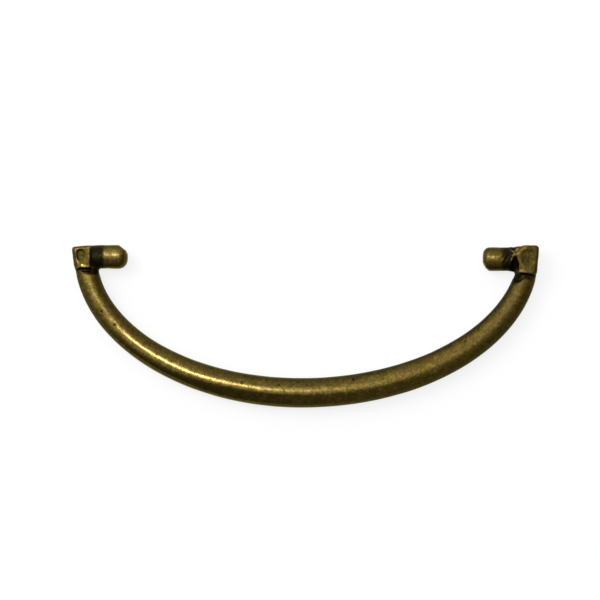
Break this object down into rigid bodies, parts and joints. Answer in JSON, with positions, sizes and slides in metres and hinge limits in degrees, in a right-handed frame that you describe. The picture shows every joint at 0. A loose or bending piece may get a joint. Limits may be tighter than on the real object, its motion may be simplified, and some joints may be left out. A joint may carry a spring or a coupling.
{
  "type": "hoop handle",
  "caption": "Cast brass hoop handle: a tapered half-oval bow with an inward pin and a raised square pad at each end.",
  "frame": {"origin": "middle of the footprint, at the height of the hoop's back, with the hoop lying flat on its back", "axes": "+X along the pins from the left end to the right end, +Y from the bow's lowest point to the pins, +Z from the back to the raised pads"},
  "size_m": [0.0934, 0.0328, 0.0059],
  "materials": {
    "aged_brass": "satin"
  },
  "bodies": {
    "root": {"hoop_handle": "aged_brass"}
  },
  "joints": []
}
